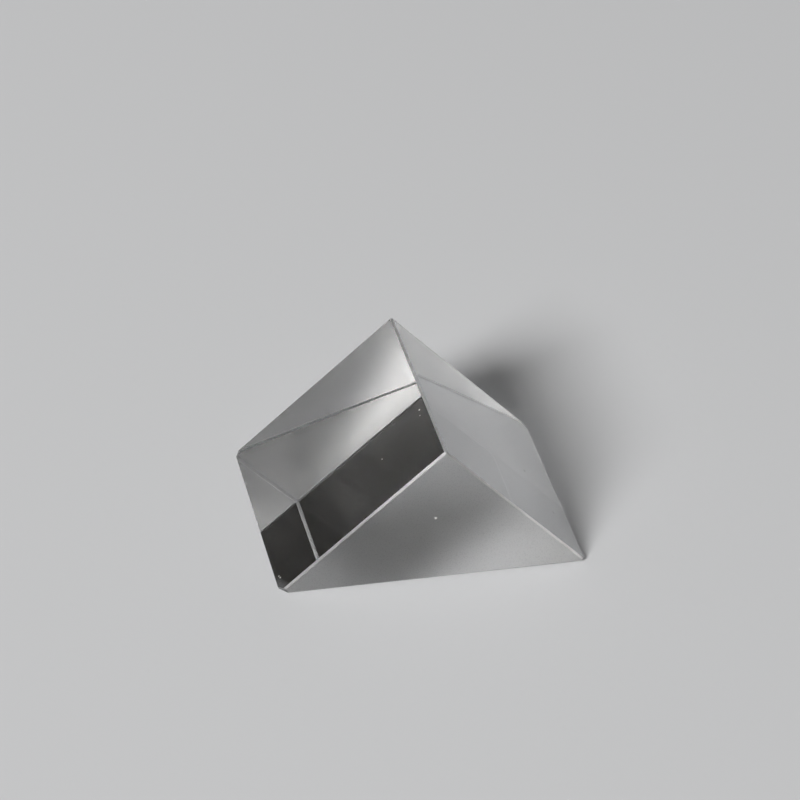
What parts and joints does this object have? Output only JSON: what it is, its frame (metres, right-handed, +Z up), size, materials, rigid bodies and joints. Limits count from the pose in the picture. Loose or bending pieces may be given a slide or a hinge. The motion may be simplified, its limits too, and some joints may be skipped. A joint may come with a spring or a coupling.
{
  "type": "right angle prism",
  "caption": "Solid glass right angle prism lying on its hypotenuse face, with clear polished long faces, fine-ground triangular ends and narrow ground edges; it folds a light beam inside.",
  "frame": {"origin": "centre of the bounding box at the plane of the hypotenuse face, which the prism lies on", "axes": "+X to the right across the triangle, +Y along the ridge towards the back end, +Z up through the ridge"},
  "size_m": [0.0348, 0.025, 0.0175],
  "materials": {
    "optical_glass": "colourless crown glass: long faces polished clear, triangular ends, edge flats and corner facets fine-ground to a grey-white satin"
  },
  "bodies": {
    "root": {"prism": "optical_glass"}
  },
  "joints": []
}
